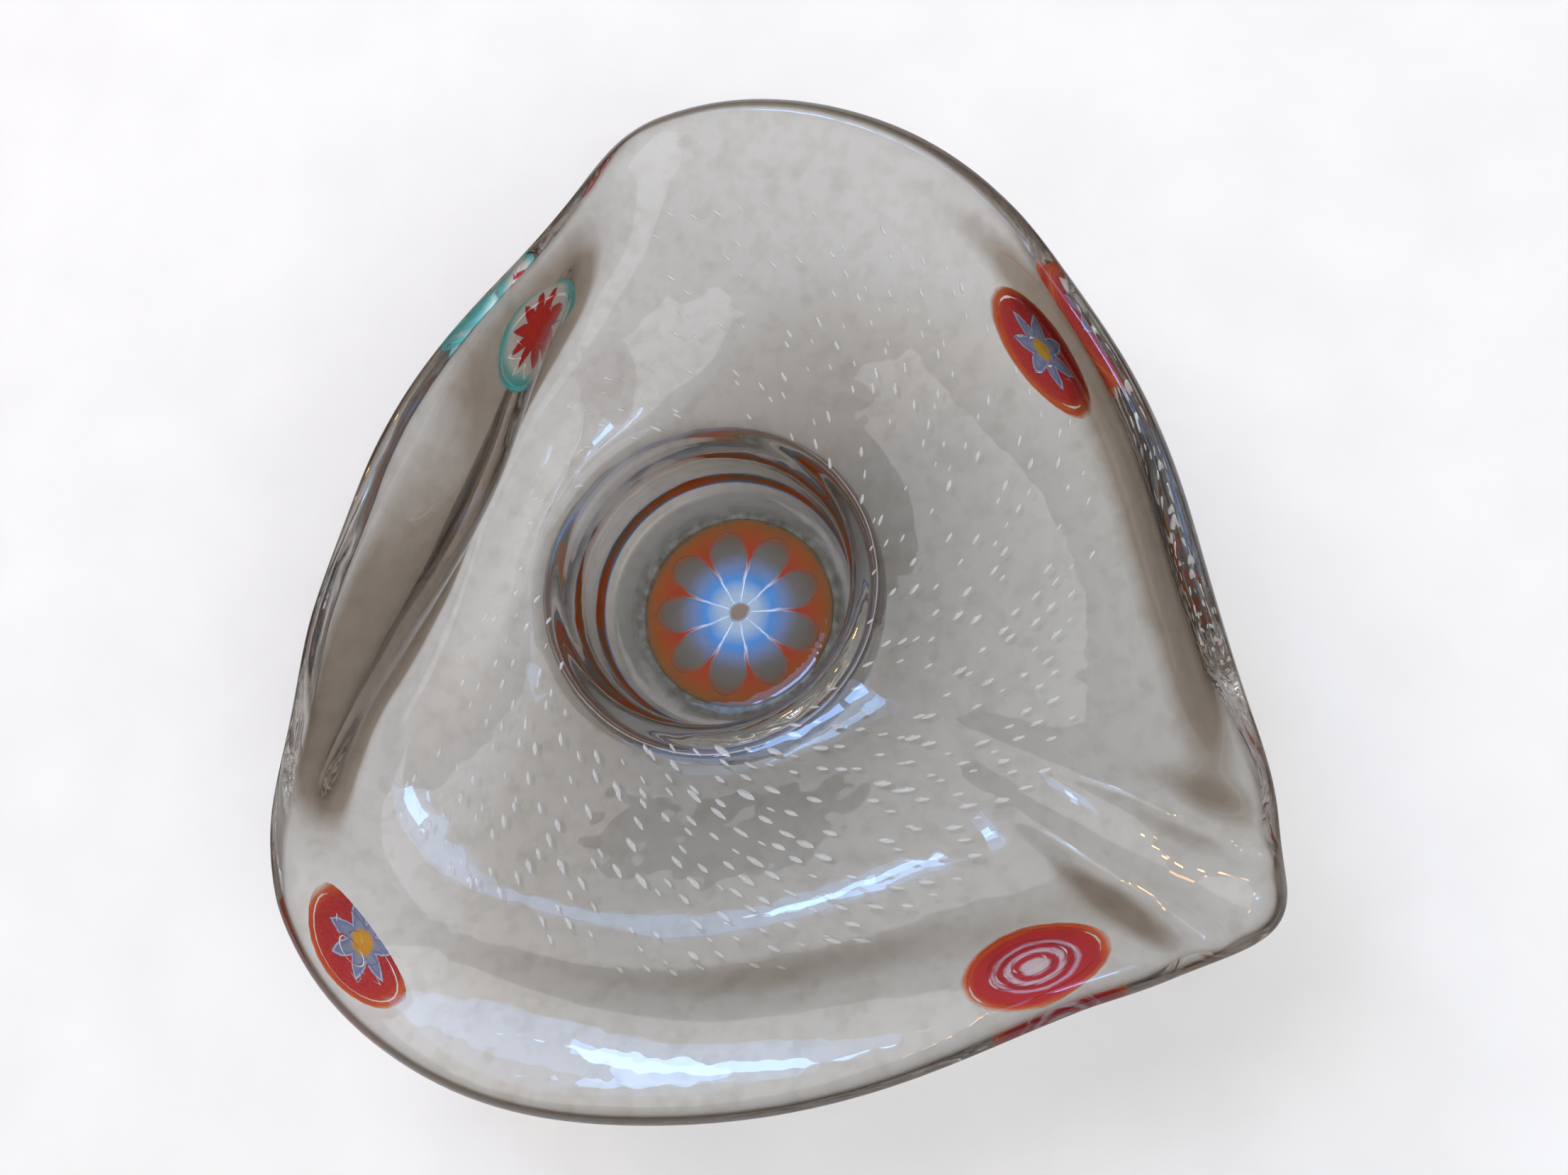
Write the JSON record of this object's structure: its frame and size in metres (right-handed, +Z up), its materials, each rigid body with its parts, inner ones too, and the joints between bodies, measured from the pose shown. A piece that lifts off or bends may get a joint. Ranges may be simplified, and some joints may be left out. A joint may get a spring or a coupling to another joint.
{
  "type": "art glass bowl",
  "caption": "Free-form blown clear glass bowl with a folded side and a pinched corner, slices of patterned coloured cane sealed in its base and wall, on a round flat foot.",
  "frame": {"origin": "centre of the foot's flat underside", "axes": "+Z up, out of the bowl's mouth; +X towards the right-hand side of the bowl, with the pinched corner between +X and -Y and the folded side at -X"},
  "size_m": [0.1562, 0.1704, 0.0696],
  "materials": {
    "clear": "clear, polished by the flame",
    "amber": "coloured glass, part clear",
    "crimson": "coloured glass, part clear",
    "scarlet": "coloured glass, part clear",
    "paleBlue": "grainy pale glass",
    "yellow": "opaque coloured glass",
    "white": "opaque white glass",
    "turquoise": "coloured glass, part clear",
    "lilac": "opaque pale glass",
    "opalBlue": "milky blue glass",
    "smoke": "smoke grey glass",
    "tan": "opaque tan glass"
  },
  "bodies": {
    "root": {"base_murrina_core": "tan", "base_murrina_halo": "smoke", "base_murrina_jacket": "amber", "base_murrina_petal_1": "opalBlue", "base_murrina_petal_2": "opalBlue", "base_murrina_petal_3": "opalBlue", "base_murrina_petal_4": "opalBlue", "base_murrina_petal_5": "opalBlue", "base_murrina_petal_6": "opalBlue", "base_murrina_petal_7": "opalBlue", "base_murrina_petal_8": "opalBlue", "base_murrina_petal_9": "opalBlue", "inner_gather": "clear", "lower_left_murrina_core": "yellow", "lower_left_murrina_field": "crimson", "lower_left_murrina_jacket": "amber", "lower_left_murrina_star": "paleBlue", "lower_right_murrina_core": "white", "lower_right_murrina_field": "crimson", "lower_right_murrina_inner_ring": "lilac", "lower_right_murrina_jacket": "amber", "lower_right_murrina_outer_ring": "lilac", "lower_right_murrina_red_band": "crimson", "outer_casing": "clear", "upper_left_murrina_field": "white", "upper_left_murrina_jacket": "turquoise", "upper_left_murrina_star": "scarlet", "upper_right_murrina_core": "yellow", "upper_right_murrina_field": "crimson", "upper_right_murrina_jacket": "amber", "upper_right_murrina_star": "paleBlue"}
  },
  "joints": []
}
